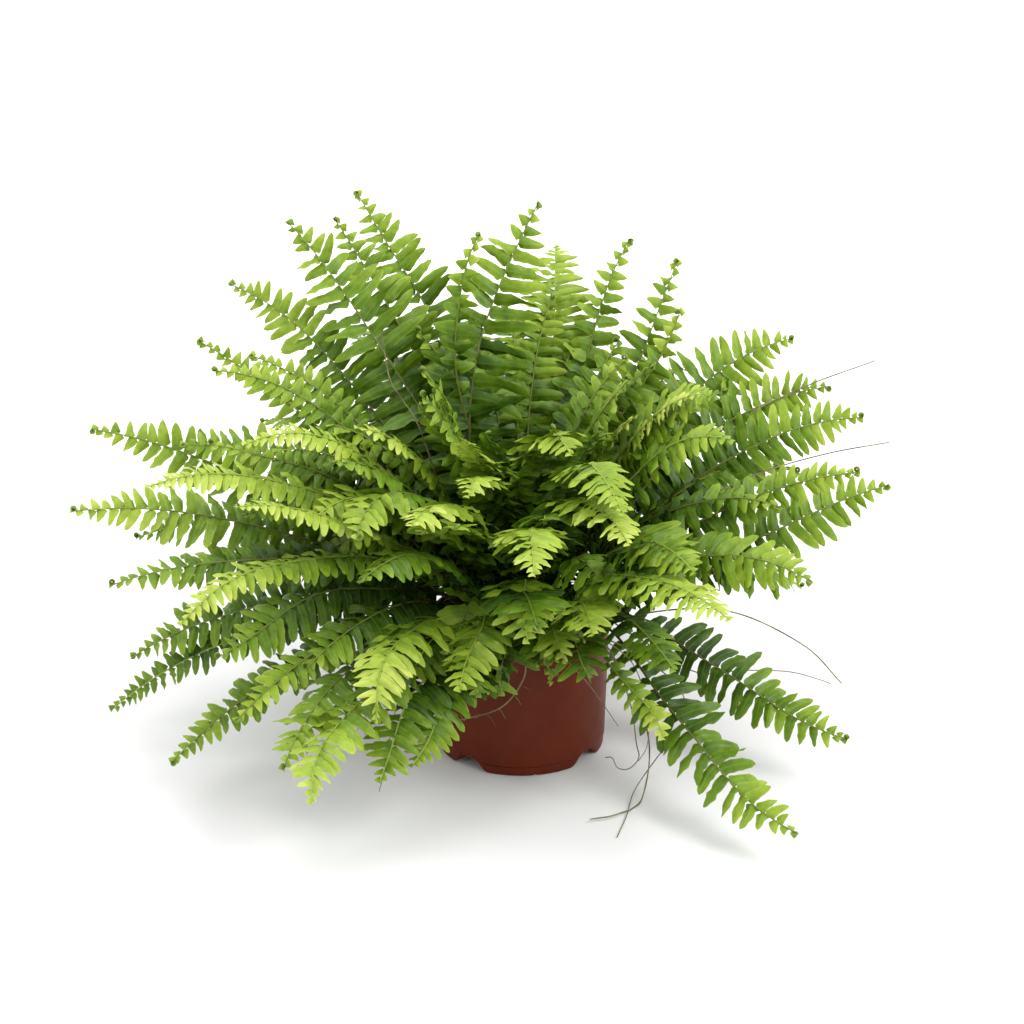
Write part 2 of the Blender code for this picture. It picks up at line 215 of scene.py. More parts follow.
# Moulded polypropylene: soft broad highlights. Its tint clouds over about 30 mm, dust specks are
# 1 mm, scuffs that change the gloss 8 mm, and the mould's spark-eroded grain 0.6 mm.
moulded_plastic, tree, skin = new_material("polypropylene_moulded_terracotta")
place = add_node(tree, "TexCoord").outputs["Object"]
cloud = add_node(tree, "TexNoise", Vector=place, Scale=34.0, Detail=4.0, Roughness=0.6).outputs["Fac"]
body = colour_ramp(tree, cloud, [(0.30, "56200d"), (0.55, "5c230f"), (0.80, "632711")])
dust = add_node(tree, "TexNoise", Vector=place, Scale=900.0, Detail=2.0).outputs["Fac"]
dust = add_node(tree, "MapRange", Value=dust, From_Min=0.70, From_Max=0.80).outputs[0]
dust = add_node(tree, "Math", {"operation": "MULTIPLY"}, _0=dust, _1=0.35).outputs[0]
body = add_node(tree, "MixRGB", {"blend_type": "MIX"}, Fac=dust, Color1=body,
                Color2=linear("34140b")).outputs[0]
tree.links.new(body, skin.inputs["Base Color"])
scuff = add_node(tree, "TexNoise", Vector=place, Scale=120.0, Detail=5.0, Roughness=0.7).outputs["Fac"]
rough = add_node(tree, "MapRange", Value=scuff, From_Min=0.3, From_Max=0.7, To_Min=0.36,
                 To_Max=0.50).outputs[0]
tree.links.new(rough, skin.inputs["Roughness"])
grain = add_node(tree, "TexNoise", Vector=place, Scale=1600.0, Detail=2.0).outputs["Fac"]
relief = add_node(tree, "Bump", Height=grain, Strength=0.12, Distance=0.0001).outputs["Normal"]
tree.links.new(relief, skin.inputs["Normal"])
skin.inputs["Specular IOR Level"].default_value = 0.12

pot = add_piece("nursery_pot", pot_points, capped(sections.shape[1], POT_SIDES), moulded_plastic,
                ["pot"], sharp=35)
for number, heading in enumerate(np.radians(NOTCH_HEADINGS)):
    bpy.ops.mesh.primitive_cylinder_add(vertices=40, radius=DRAIN_RADIUS, depth=12 * MM, location=(
        DRAIN_PLACE * math.cos(heading), DRAIN_PLACE * math.sin(heading), NOTCH_DEPTH))
    drill = bpy.context.object
    hole = pot.modifiers.new("drain", "BOOLEAN")
    hole.operation = "DIFFERENCE"
    hole.object = drill
    bpy.context.view_layer.objects.active = pot
    bpy.ops.object.modifier_apply(modifier="drain")
    bpy.data.objects.remove(drill, do_unlink=True)

# ---------------------------------------------------------------------------------------------
# Potting mix. Dark peat and fine bark that fills the pot to 10 mm under the rim: a crumbly
# domed top with loose crumbs lying on it.
# ---------------------------------------------------------------------------------------------
SOIL_BELOW_RIM = 10 * MM
SOIL_DOME = 4 * MM
SOIL_RADIUS = RIM_RADIUS - WALL - 1.2 * MM
draw_soil = np.random.default_rng(11)


def bumps(x, y, wavelength, seed):
    """Smooth random relief in -1..1 at a wavelength: sines in seven directions, added up."""
    pick = np.random.default_rng(seed)
    total = np.zeros_like(x)
    for _ in range(7):
        way, start = pick.uniform(0, 2 * np.pi, 2)
        size = wavelength * pick.uniform(0.7, 1.4)
        total += np.sin(2 * np.pi * (x * np.cos(way) + y * np.sin(way)) / size + start)
    return total / 4.0


def soil_top(r):
    """Height of the potting mix: a shallow paraboloid."""
    return POT_HEIGHT - SOIL_BELOW_RIM + SOIL_DOME * (1.0 - (r / RIM_RADIUS) ** 2)


soil_sides = 96
soil_turn = np.arange(soil_sides) * 2 * np.pi / soil_sides
soil_rings = np.linspace(0.985, 0.05, 34) * SOIL_RADIUS
r_grid, a_grid = np.meshgrid(soil_rings, soil_turn, indexing="ij")
x_grid, y_grid = r_grid * np.cos(a_grid), r_grid * np.sin(a_grid)
z_grid = soil_top(r_grid) - 0.8 * MM + 0.5 * MM * bumps(x_grid, y_grid, 9 * MM, 1)
z_grid += 0.3 * MM * bumps(x_grid, y_grid, 3.5 * MM, 2)
soil_bottom = NOTCH_DEPTH + WALL + 1.5 * MM
under = [(0.5 * RIM_RADIUS, soil_bottom), (WALL_FOOT_RADIUS - 14 * MM, soil_bottom),
         (WALL_FOOT_RADIUS - 4.5 * MM, 0.25 * POT_HEIGHT), (WALL_FOOT_RADIUS - 2.4 * MM, 0.5 * POT_HEIGHT)]
lower = np.array([[(r * math.cos(a), r * math.sin(a), z) for a in soil_turn] for r, z in under])
soil_points = np.concatenate((lower, np.stack((x_grid, y_grid, z_grid), axis=-1))).reshape(-1, 3)
soil_points = np.vstack((soil_points, (0, 0, soil_bottom), (0, 0, soil_top(0.0) - 0.8 * MM)))

# Moist peat: fibrous, matt, nearly black, with brown and rusty flecks 2.4 mm across, the size of
# a crumb, and a roughness of 1.4 mm.
peat, tree, skin = new_material("peat_and_fine_bark")
place = add_node(tree, "TexCoord").outputs["Object"]
fleck = add_node(tree, "TexVoronoi", Vector=place, Scale=420.0, Randomness=1.0)
tone = add_node(tree, "SeparateColor", Color=fleck.outputs["Color"]).outputs[0]
earth = colour_ramp(tree, tone, [(0.0, "0f0a06"), (0.55, "20150c"), (0.85, "352415"), (1.0, "5b4023")])
tree.links.new(earth, skin.inputs["Base Color"])
skin.inputs["Roughness"].default_value = 0.95
crumb = add_node(tree, "TexNoise", Vector=place, Scale=700.0, Detail=5.0, Roughness=0.7).outputs["Fac"]
relief = add_node(tree, "Bump", Height=crumb, Strength=0.8, Distance=0.0008).outputs["Normal"]
tree.links.new(relief, skin.inputs["Normal"])
add_piece("potting_mix_top", soil_points, capped(len(under) + len(soil_rings), soil_sides), peat,
          ["potting_mix"], sharp=70)

# Loose crumbs: each is an eight-cornered lump, squashed and turned at random.
cube = np.array([(x, y, z) for x in (-1, 1) for y in (-1, 1) for z in (-1, 1)], dtype=float)
cube_faces = np.array([(0, 1, 3, 2), (4, 6, 7, 5), (0, 4, 5, 1), (2, 3, 7, 6), (0, 2, 6, 4), (1, 5, 7, 3)])
crumbs = 420
crumb_r = SOIL_RADIUS * 0.96 * np.sqrt(draw_soil.uniform(0.25, 1.0, crumbs))
crumb_a = draw_soil.uniform(0, 2 * np.pi, crumbs)
crumb_size = draw_soil.uniform(0.5, 1.5, (crumbs, 1, 1)) * MM * draw_soil.uniform(0.5, 1.0, (crumbs, 1, 3))
lumps = cube[None] * crumb_size * draw_soil.uniform(0.75, 1.1, (crumbs, 8, 1))
yaw = draw_soil.uniform(0, 2 * np.pi, crumbs)
spun_x = lumps[..., 0] * np.cos(yaw)[:, None] - lumps[..., 1] * np.sin(yaw)[:, None]
spun_y = lumps[..., 0] * np.sin(yaw)[:, None] + lumps[..., 1] * np.cos(yaw)[:, None]
lumps = np.stack((spun_x + (crumb_r * np.cos(crumb_a))[:, None],
                  spun_y + (crumb_r * np.sin(crumb_a))[:, None],
                  lumps[..., 2] + (soil_top(crumb_r) + 0.3 * MM)[:, None]), axis=-1)
crumb_faces = (cube_faces[None] + 8 * np.arange(crumbs)[:, None, None]).reshape(-1, 4)
add_piece("potting_mix_crumbs", lumps, crumb_faces.tolist(), peat, sharp=30)

# ---------------------------------------------------------------------------------------------
# Crown. The woody rhizome that every frond grows from: a low mound on the potting mix, covered
# in brown papery scales and the stubs of old stalks.
# ---------------------------------------------------------------------------------------------
CROWN_RADIUS = 50 * MM
CROWN_HEIGHT = 13 * MM
CROWN_GAP = 0.3 * MM
GOLDEN_ANGLE = 137.508              # turn in degrees from one growth to the next


def crown_top(r):
    """Height of the crown: the potting mix plus a paraboloid mound."""
    return soil_top(r) + CROWN_GAP + CROWN_HEIGHT * np.maximum(0.0, 1.0 - (r / CROWN_RADIUS) ** 2)


crown_sides = 120
crown_turn = np.arange(crown_sides) * 2 * np.pi / crown_sides
crown_rings = np.linspace(0.97, 0.03, 30) * CROWN_RADIUS
r_grid, a_grid = np.meshgrid(crown_rings, crown_turn, indexing="ij")
x_grid, y_grid = r_grid * np.cos(a_grid), r_grid * np.sin(a_grid)
z_grid = crown_top(r_grid) - 0.5 * MM + 0.5 * MM * bumps(x_grid, y_grid, 7 * MM, 5)
z_grid += 0.35 * MM * bumps(x_grid, y_grid, 2.6 * MM, 6)
base_ring = np.stack((x_grid[0], y_grid[0], np.full(crown_sides, soil_top(CROWN_RADIUS) - 0.6 * MM)), axis=-1)
mound = np.stack((x_grid, y_grid, z_grid), axis=-1)
crown_points = np.concatenate((base_ring[None] * (0.9, 0.9, 1.0), mound))
crown_points = np.vstack((crown_points.reshape(-1, 3), (0, 0, soil_top(CROWN_RADIUS) - 0.6 * MM),
                          (0, 0, crown_top(0.0) - 0.5 * MM)))

# Rhizome bark with papery scales: warm brown, matt, in overlapping flakes about 2 mm long.
rhizome_bark, tree, skin = new_material("rhizome_scaly_bark")
place = add_node(tree, "TexCoord").outputs["Object"]
flake = add_node(tree, "TexVoronoi", Vector=place, Scale=480.0)
tone = add_node(tree, "SeparateColor", Color=flake.outputs["Color"]).outputs[0]
bark = colour_ramp(tree, tone, [(0.0, "2a1c0d"), (0.5, "4d351a"), (0.85, "6e5128"), (1.0, "8b7341")])
tree.links.new(bark, skin.inputs["Base Color"])
skin.inputs["Roughness"].default_value = 0.85
relief = add_node(tree, "Bump", Height=flake.outputs["Distance"], Strength=0.9, Distance=0.0006)
tree.links.new(relief.outputs["Normal"], skin.inputs["Normal"])
add_piece("crown_mound", crown_points, capped(1 + len(crown_rings), crown_sides), rhizome_bark,
          ["crown"], sharp=70)

# Stubs where old fronds were cut away: short brown pegs that lean outwards.
stub_turn = np.arange(8) * np.pi / 4
for number in range(22):
    heading = np.radians(number * GOLDEN_ANGLE)
    ring = CROWN_RADIUS * math.sqrt((number + 1) / 25)
    foot = np.array((ring * math.cos(heading), ring * math.sin(heading), crown_top(ring)))
    lean = np.array((0.5 * math.cos(heading), 0.5 * math.sin(heading), 1.0)) * draw_soil.uniform(6, 13) * MM
    climb = np.linspace(-0.15, 1.0, 5)[:, None]
    girth = np.linspace(1.5, 0.9, 5)[:, None] * MM
    circles = np.stack((girth * np.cos(stub_turn), girth * np.sin(stub_turn), np.zeros((5, 8))), axis=-1)
    rings = (foot + climb * lean)[:, None] + circles
    stub_points = np.vstack((rings.reshape(-1, 3), foot - 0.15 * lean, foot + lean))
    add_piece(f"crown_stub_{number + 1:02d}", stub_points, capped(5, 8), rhizome_bark, sharp=50)

# ---------------------------------------------------------------------------------------------
# Fronds. Each is a wiry stalk with two rows of separate leaflets, soft, thin and a little
# glossy, and a coiled tip that is still unrolling. They spring from the crown in whorls.
# ---------------------------------------------------------------------------------------------
BARE_STALK = 0.16
SILL = (70, 126)
RACHIS_DEPTH = 1.7 * MM
LEAF_THICK = 0.32 * MM
WHORLS = (
    ("upright", 11, (
        ((30, 130, 350), (20, 80, 265), 0.9, 50, 0.52, 11.0),
        ((55, 140, 352), (50, 70, 290), 0.9, 44, 0.52, 11.0),
        ((80, 150, 338), (60, 75, 300), 0.8, 56, 0.54, 5.8),
        ((80, 72, 391), (180, 76, 235), 0.9, 76, 0.50, 11.8),
        ((127, 205, 375), (118, 90, 290), 1.0, 62, 0.52, 10.5),
        ((136, 192, 362), (136, 100, 300), 1.0, 60, 0.46, 10.5),
        ((149, 198, 368), (152, 120, 320), 1.0, 78, 0.50, 11.6),
        ((287, 112, 266), (255, 65, 300), 0.3, 58, 0.50, 7.2),
    )),
    ("inner", 21, (
        ((22, 215, 286), (22, 115, 275), 0.9, 60, 0.50, 9.0),
        ((48, 235, 205), (48, 118, 300), 0.0, 58, 0.44, 10.0),
        ((75, 245, 235), (75, 122, 310), 0.0, 60, 0.48, 10.0),
        ((100, 250, 215), (100, 125, 300), 0.0, 60, 0.42, 10.5),
        ((122, 250, 245), (122, 125, 300), 0.2, 58, 0.46, 9.5),
        ((155, 236, 322), (155, 118, 280), 1.0, 48, 0.52, 9.0),
        ((172, 232, 300), (172, 116, 240), 0.9, 28, 0.52, 8.5),
        ((203, 205, 262), (205, 110, 290), 0.3, 30, 0.72, 7.0),
        ((247, 182, 240), (240, 80, 255), 0.0, 38, 0.70, 6.4),
        ((272, 222, 228), (272, 120, 270), 0.0, 46, 0.62, 6.6),
        ((290, 192, 252), (290, 98, 328), 0.0, 46, 0.52, 6.4),
        ((334, 135, 292), (345, 65, 270), 0.3, 30, 0.72, 6.4),
    )),
    ("outer", 31, (
        ((5, 246, 246), (5, 135, 245), 0.8, 48, 0.50, 8.6),
        ((15, 234, 256), (20, 128, 262), 0.9, 50, 0.52, 8.4),
        ((62, 262, 150), (62, 144, 240), 0.0, 58, 0.42, 10.5),
        ((92, 266, 128), (92, 146, 235), 0.0, 58, 0.46, 10.0),
        ((116, 262, 160), (116, 144, 245), 0.0, 56, 0.40, 10.0),
        ((140, 262, 190), (140, 144, 250), 0.2, 54, 0.46, 9.5),
        ((163, 306, 124), (163, 168, 170), 0.4, 44, 0.36, 9.2),
        ((175, 311, 235), (175, 170, 212), 0.8, 50, 0.54, 10.4),
        ((189, 317, 202), (189, 175, 202), 0.6, 48, 0.60, 9.4),
        ((198, 296, 164), (198, 160, 200), 0.4, 44, 0.42, 9.6),
        ((206, 276, 248), (196, 150, 265), 0.3, 34, 0.70, 6.6),
        ((218, 236, 244), (218, 130, 226), 0.1, 38, 0.72, 6.6),
        ((301, 256, 196), (301, 140, 222), 0.0, 46, 0.64, 6.2),
        ((328, 230, 180), (328, 125, 205), 0.5, 50, 0.52, 9.0),
        ((345, 240, 236), (345, 132, 212), 0.6, 36, 0.50, 8.4),
        ((358, 262, 206), (358, 143, 152), 0.7, 50, 0.50, 9.2),
    )),
    ("hanging", 41, (
        ((28, 248, 72), (28, 183, 124), 0.2, 52, 0.46, 9.5),
        ((72, 246, 60), (72, 183, 127), 0.0, 56, 0.40, 10.0),
        ((106, 250, 52), (106, 187, 117), 0.0, 56, 0.44, 10.0),
        ((146, 256, 70), (146, 192, 130), 0.2, 54, 0.40, 9.5),
        ((180, 286, 66), (180, 214, 115), 0.5, 46, 0.42, 9.0),
        ((178, 306, 17), (181, 229, 91), 0.6, 30, 0.36, 8.0),
        ((204, 268, 36), (204, 200, 95), 0.4, 34, 0.44, 8.6),
        ((232, 254, 80), (228, 208, 125), 0.2, 50, 0.48, 8.6),
        ((241, 278, 78), (236, 229, 126), 0.0, 50, 0.62, 8.0),
        ((244, 218, 112), (239, 183, 187), 0.0, 44, 0.74, 5.8),
        ((256, 128, 95), (254, 103, 158), 0.0, 42, 0.34, 6.4),
        ((247, 188, 68), (247, 140, 99), 0.2, 40, 0.46, 6.6),
        ((285, 180, 165), (285, 135, 190), 0.0, 44, 0.58, 6.2),
        ((302, 192, 134), (302, 145, 172), 0.0, 46, 0.32, 6.4),
        ((313, 270, 30), (313, 130, 70), 0.6, 52, 0.50, 10.2),
        ((340, 246, 42), (340, 165, 66), 0.6, 46, 0.46, 9.0),
    )),
)


def unit(v):
    """Vectors scaled to length 1."""
    return v / np.maximum(np.linalg.norm(v, axis=-1, keepdims=True), 1e-12)


def polar(heading_deg, distance, z):
    """Point at a heading and a distance from the axis."""
    a = math.radians(heading_deg)
    return np.array((distance * math.cos(a), distance * math.sin(a), z))


def spaced(points, count):
    """The same line with its points evenly spaced."""
    run = np.concatenate(([0.0], np.cumsum(np.linalg.norm(np.diff(points, axis=0), axis=1))))
    want = np.linspace(0.0, run[-1], count)
    return np.column_stack([np.interp(want, run, points[:, k]) for k in range(3)])


def sample(field, spot):
    """The rows of field at fractional places spot."""
    return np.column_stack([np.interp(spot, np.arange(len(field)), field[:, k]) for k in range(3)])


def bow(start, rise, draw, tip, count):
    """Points evenly spaced along a cubic curve from start to tip with handles rise and draw."""
    t = np.linspace(0.0, 1.0, 200)[:, None]
    u = 1.0 - t
    return spaced(u ** 3 * start + 3 * u * u * t * rise + 3 * u * t * t * draw + t ** 3 * tip, count)


def frond_curve(whorl, ring, seat, tip, pull):
    """The four handles of a frond's bow, from its seat on the crown to its tip."""
    start = polar(seat, ring * MM, 0.0)
    start[2] = crown_top(ring * MM)
    pull_point = polar(pull[0], pull[1] * MM, pull[2] * MM)
    tip_point = polar(tip[0], tip[1] * MM, tip[2] * MM)
    rise = start + (pull_point - start) * 2 / 3
    draw = tip_point + (pull_point - tip_point) * 2 / 3
    if whorl == "hanging":
        way = unit(unit(start[:2]) + unit(pull_point[:2]))
        rise = np.array((*(way * SILL[0] * MM), SILL[1] * MM))
        draw = pull_point
    slope = np.linalg.norm(unit(rise - start)[:2])
    start[2] += CROWN_GAP + 0.5 * RACHIS_DEPTH * slope
    return start, rise, draw, tip_point


def blade_frame(points, facing):
    """Along, across and up at each point. The upper face looks at the sky, and at the plant's
    axis where the frond stands upright, and leans to the front by its facing."""
    along = unit(np.gradient(points, axis=0))
    outward = unit((points[-1] - points[0]) * (1.0, 1.0, 0.0))
    sky = np.array((0.0, 0.0, 1.0)) - 0.6 * outward
    wish = (1.0 - facing) * sky + facing * np.array((0.0, -1.0, 0.25))
    up = unit(wish - along * (along @ wish)[:, None])
    return along, np.cross(along, up), up


def pipe(points, across, up, radii, sides):
    """Round tube along points: rings of sides points, closed by a point at each end."""
    turn = np.arange(sides) * 2 * np.pi / sides
    rings = points[:, None] + np.asarray(radii)[:, None, None] * (
        np.cos(turn)[None, :, None] * up[:, None] + np.sin(turn)[None, :, None] * across[:, None])
    return np.vstack((rings.reshape(-1, 3), points[0], points[-1])), capped(len(points), sides)


# One leaflet's grid: stations from stalk to tip, and columns across from edge to edge. A long
# leaflet is a strap that narrows in its last third, a short one a triangle with a square base.
STATIONS = np.array((0.0, 0.035, 0.10, 0.22, 0.36, 0.50, 0.64, 0.78, 0.90, 1.0))
COLUMNS = np.array((-1.0, -0.5, 0.0, 0.5, 1.0))
BLUNT = np.array((0.42, 0.88, 1.00, 0.98, 0.97, 0.95, 0.92, 0.85, 0.66, 0.16))
POINTED = np.array((0.42, 0.88, 1.00, 0.96, 0.91, 0.85, 0.76, 0.61, 0.40, 0.06))
TRIANGLE = np.array((0.48, 0.98, 1.05, 0.97, 0.86, 0.73, 0.58, 0.42, 0.25, 0.05))
SCALLOPS = np.array((0.0, 0.0, 0.04, -0.03, 0.05, -0.05, 0.05, -0.04, 0.03, 0.0))
rows, columns = len(STATIONS), len(COLUMNS)
top_index = np.arange(rows * columns).reshape(rows, columns)
under_index = top_index.copy()
under_index[1:-1, 1:-1] = rows * columns + np.arange((rows - 2) * (columns - 2)).reshape(rows - 2, -1)
LEAFLET_FACES = np.vstack([
    np.stack((side[:-1, :-1], side[:-1, 1:], side[1:, 1:], side[1:, :-1]), axis=-1).reshape(-1, 4)[:, ::flip]
    for side, flip in ((top_index, -1), (under_index, 1))])
LEAFLET_POINTS = rows * columns + (rows - 2) * (columns - 2)


def leaflets(base, out, forward, normal, side, length, width, blunt, bend, sweep, fold, pitch, wave):
    """A row of leaflets, each a closed leaf. Its midrib leaves base along out, swung forward by
    sweep and bent down by bend, each a start and a change along its length. Its half-width runs
    from a triangle when short to a strap when long, blunt or pointed, with shallow scallops and
    an ear at the forward base. Its two halves fold down from the midrib, its margin waves
    (height, waves, start), and it is pitched about its midrib. side is +1 right and -1 left.
    Returns points, run, spread and vein place."""
    n = len(base)
    u = STATIONS[None, :]
    outward = out * side[:, None]
    in_plane = sweep[:, :1] + sweep[:, 1:] * u
    down = bend[:, :1] + bend[:, 1:] * u
    flat = np.cos(in_plane)[..., None] * outward[:, None] + np.sin(in_plane)[..., None] * forward[:, None]
    ribway = np.cos(down)[..., None] * flat - np.sin(down)[..., None] * normal[:, None]
    step = np.diff(STATIONS)[None, :, None] * 0.5 * (ribway[:, 1:] + ribway[:, :-1]) * length[:, None, None]
    rib = base[:, None] + np.concatenate((np.zeros((n, 1, 3)), np.cumsum(step, axis=1)), axis=1)
    face = np.sin(down)[..., None] * flat + np.cos(down)[..., None] * normal[:, None]
    cross = np.cos(in_plane)[..., None] * forward[:, None] - np.sin(in_plane)[..., None] * outward[:, None]
    turn = pitch[:, :1] + pitch[:, 1:] * u
    cross, face = (np.cos(turn)[..., None] * cross + np.sin(turn)[..., None] * face,
                   np.cos(turn)[..., None] * face - np.sin(turn)[..., None] * cross)
    strap = ease((length - 7 * MM) / (20 * MM))[:, None]
    outline = strap * (blunt * BLUNT + (1.0 - blunt) * POINTED) + (1.0 - strap) * TRIANGLE
    outline = outline * (1.0 + SCALLOPS * strap)
    v = (COLUMNS[None, :] * side[:, None])[:, None]
    ear = 0.34 * np.exp(-(STATIONS / 0.11) ** 2)[None, :, None] * np.maximum(v, 0.0)
    reach = 0.5 * (width[:, None] * outline)[..., None] * v * (1.0 + ear)
    ripple = wave[:, :1] * np.sin(2 * np.pi * (wave[:, 1:2] * u + wave[:, 2:3])) * outline
    drop = ripple[..., None] * v * np.abs(v) - fold[:, None, None] * np.abs(reach)
    top = rib[:, :, None] + reach[..., None] * cross[:, :, None] + drop[..., None] * face[:, :, None]
    thick = LEAF_THICK * np.minimum(1.0, length / (12 * MM))[:, None, None, None]
    below = top - thick * face[:, :, None]
    points = np.concatenate((top.reshape(n, -1, 3), below[:, 1:-1, 1:-1].reshape(n, -1, 3)), axis=1)
    run = np.broadcast_to(u[..., None], (n, rows, columns))
    spread = np.broadcast_to(COLUMNS, (n, rows, columns))
    vein = (run * length[:, None, None] - 0.8 * np.abs(reach)) / MM
    marks = np.stack((run, spread, vein), axis=-1)
    marks = np.concatenate((marks.reshape(n, -1, 3), marks[:, 1:-1, 1:-1].reshape(n, -1, 3)), axis=1)
    return points, marks


def make_frond(name, curve, facing, width, tone, spacing, seed, stands_for=(), bare=BARE_STALK):
    """A frond on its bow: a tapering stalk, bare at its foot, with a leaflet every spacing along
    each side. Leaflet length is short at the foot, full by a third of the way, and falls as
    1 - exp(-k s) with s counted back from the tip, k larger on close-set fronds. An open frond's
    tip is still rolled up: it follows a spiral of falling radius, with small leaflets round it."""
    pick = np.random.default_rng(seed)
    points = bow(*curve, 140)
    _, across, up = blade_frame(points, facing)
    place = np.linspace(0.0, 1.0, len(points))[:, None]
    sway = pick.normal(0, 2.4 * MM, 2) * np.sin(2 * np.pi * place) + pick.normal(0, 1.2 * MM, 2) * np.sin(
        4 * np.pi * place)
    points = points + sway[:, :1] * across + sway[:, 1:] * up
    along, across, up = blade_frame(points, facing)
    total = np.linalg.norm(np.diff(points, axis=0), axis=1).sum()
    close = np.clip((11.0 - spacing) / 4.0, 0.0, 1.2)
    count = 2 * int((1.0 - bare) * total / (spacing * MM))
    t = (np.arange(count) + 0.5) / count
    t = np.clip(t * (1.22 - 0.22 * t) + pick.normal(0, 0.14 / count, count), 0.002, 0.992)
    side = np.where(np.arange(count) % 2, 1.0, -1.0)
    spot = (bare + (1.0 - bare) * t) * (len(points) - 1)
    base = sample(points, spot)
    fwd, out, nrm = unit(sample(along, spot)), unit(sample(across, spot)), unit(sample(up, spot))
    falling = 4.0 + 3.5 * close
    share = (0.55 + 0.45 * ease(t / 0.30)) * (1.0 - np.exp(-falling * (1.0 - t))) / (1.0 - np.exp(-falling))
    length = np.maximum(0.60 * width * share * pick.normal(1.0, 0.08, count), 4.6 * MM)
    wide = spacing * MM * (0.60 + (0.34 + 0.08 * close) * share) * pick.normal(1.0, 0.05, count)
    young = ease((t - 0.25) / 0.75)
    calm = 1.0 - 0.55 * np.minimum(close, 1.0)
    lying = np.abs(nrm[:, 2])
    bend = np.column_stack((pick.normal(0.02, 0.13, count) - 0.1 * young,
                            (0.34 + 0.50 * lying + calm * pick.normal(0, 0.40, count)) * (1.0 - 0.3 * young)))
    sweep = np.column_stack((0.14 + 0.22 * young + calm * pick.normal(0, 0.07, count),
                             0.22 - 0.45 * np.maximum(fwd[:, 2], 0.0) + calm * pick.normal(0, 0.22, count)))
    fold = np.abs(pick.normal(0.20, 0.14, count)) + 0.10 * young
    twist = calm * pick.normal(0.0, 0.55, count)
    pitch = np.column_stack((0.22 + calm * pick.normal(0, 0.2, count), twist)) * side[:, None]
    wave = np.column_stack((length * pick.uniform(0.02, 0.075, count), pick.uniform(1.0, 2.8, count),
                            pick.uniform(0, 1, count)))
    blunt = np.clip(1.9 - width / (40 * MM), 0.2, 1.0)
    rows_made = [leaflets(base, out, fwd, nrm, side, length, wide, blunt, bend, sweep, fold, pitch, wave)]
    # Tone falls towards the frond's foot and rises to yellow-green at its young tip: the dark foot is partly
    # older leaf and partly painted shade of the plant's inside.
    shades = [tone - 0.28 + (0.40 + 0.04 * close) * young + pick.normal(0, 0.05, count)]
    line, radii = points[::3], np.linspace(1.05, 0.42, len(points[::3])) * MM
    if spacing > 8.0:
        steps = 44
        roll = np.linspace(0.0, 4.2 * np.pi, steps)
        curl = np.linspace(2.1 * MM, 0.40 * MM, steps)[:, None]
        turn = pick.choice((-1, 1)) * pick.uniform(0.3, 1.2)
        inward = np.cos(turn) * up[-1] + np.sin(turn) * across[-1]
        axis = np.cross(along[-1], inward)
        heading = np.cos(roll)[:, None] * along[-1] + np.sin(roll)[:, None] * inward
        inner = np.cos(roll)[:, None] * inward - np.sin(roll)[:, None] * along[-1]
        path = line[-1] + np.cumsum(curl * heading * (roll[1] - roll[0]), axis=0)
        buds = np.repeat(np.arange(1, 40, 3), 2)
        bud_length = np.linspace(2.8, 1.4, len(buds)) * MM
        still = np.zeros(len(buds))
        rows_made.append(leaflets(
            path[buds], np.broadcast_to(axis, (len(buds), 3)), heading[buds], -inner[buds],
            np.where(np.arange(len(buds)) % 2, 1.0, -1.0), bud_length, 0.9 * bud_length, 0.5,
            np.column_stack((still - 0.3, still + 2.0)), np.column_stack((still + 0.5, still + 0.4)),
            still + 0.3, np.column_stack((still, still)), np.column_stack((still, still, still))))
        shades.append(np.full(len(buds), tone - 0.12))
        line = np.vstack((line, path))
        radii = np.concatenate((radii, np.linspace(0.62, 0.50, steps) * MM))
    _, line_across, line_up = blade_frame(line, facing)
    verts, faces = pipe(line, line_across, line_up, radii, 7)
    place = np.linspace(0.0, 1.0, len(line))
    verts, faces, tones = [verts], list(faces), [np.full(len(verts), tone)]
    marks = [np.column_stack((np.full(len(verts[0]), -1.0), np.append(np.repeat(place, 7), (0.0, 1.0)),
                              np.zeros(len(verts[0]))))]
    offset = len(verts[0])
    for (leaf_points, leaf_marks), shade in zip(rows_made, shades):
        starts = offset + LEAFLET_POINTS * np.arange(len(leaf_points))
        verts.append(leaf_points.reshape(-1, 3))
        faces += (LEAFLET_FACES[None] + starts[:, None, None]).reshape(-1, 4).tolist()
        tones.append(np.repeat(shade, LEAFLET_POINTS))
        marks.append(leaf_marks.reshape(-1, 3))
        offset += leaf_points.shape[0] * LEAFLET_POINTS
    verts, marks = np.vstack(verts), np.vstack(marks)
    verts[:, 2] = np.maximum(verts[:, 2], 0.6 * MM)
    values = {"tone": np.concatenate(tones), "run": marks[:, 0], "spread": marks[:, 1], "vein": marks[:, 2]}
    return add_piece(name, verts, faces, fern_leaf, stands_for, values, sharp=75)


# Living leaf: thin, waxy and slightly glossy, deep green towards a frond's foot and yellow-green where
# young. The deep green is partly older leaf and partly painted shade of the plant's inside, and each
# frond's tone is set darker on inner and low fronds as painted shade. Paler along the midrib, at the
# margin and towards the leaflet's end, with fine slanting veins about 1.1 mm apart and a mottle of
# about 7 mm. The stalk is green above and brown at its foot.
fern_leaf, tree, skin = new_material("fern_leaf_living")
tone = add_node(tree, "Attribute", {"attribute_name": "tone"}).outputs["Fac"]
run = add_node(tree, "Attribute", {"attribute_name": "run"}).outputs["Fac"]
spread = add_node(tree, "Attribute", {"attribute_name": "spread"}).outputs["Fac"]
vein = add_node(tree, "Attribute", {"attribute_name": "vein"}).outputs["Fac"]
place = add_node(tree, "TexCoord").outputs["Object"]
mottle = add_node(tree, "TexNoise", Vector=place, Scale=140.0, Detail=3.0, Roughness=0.6).outputs["Fac"]
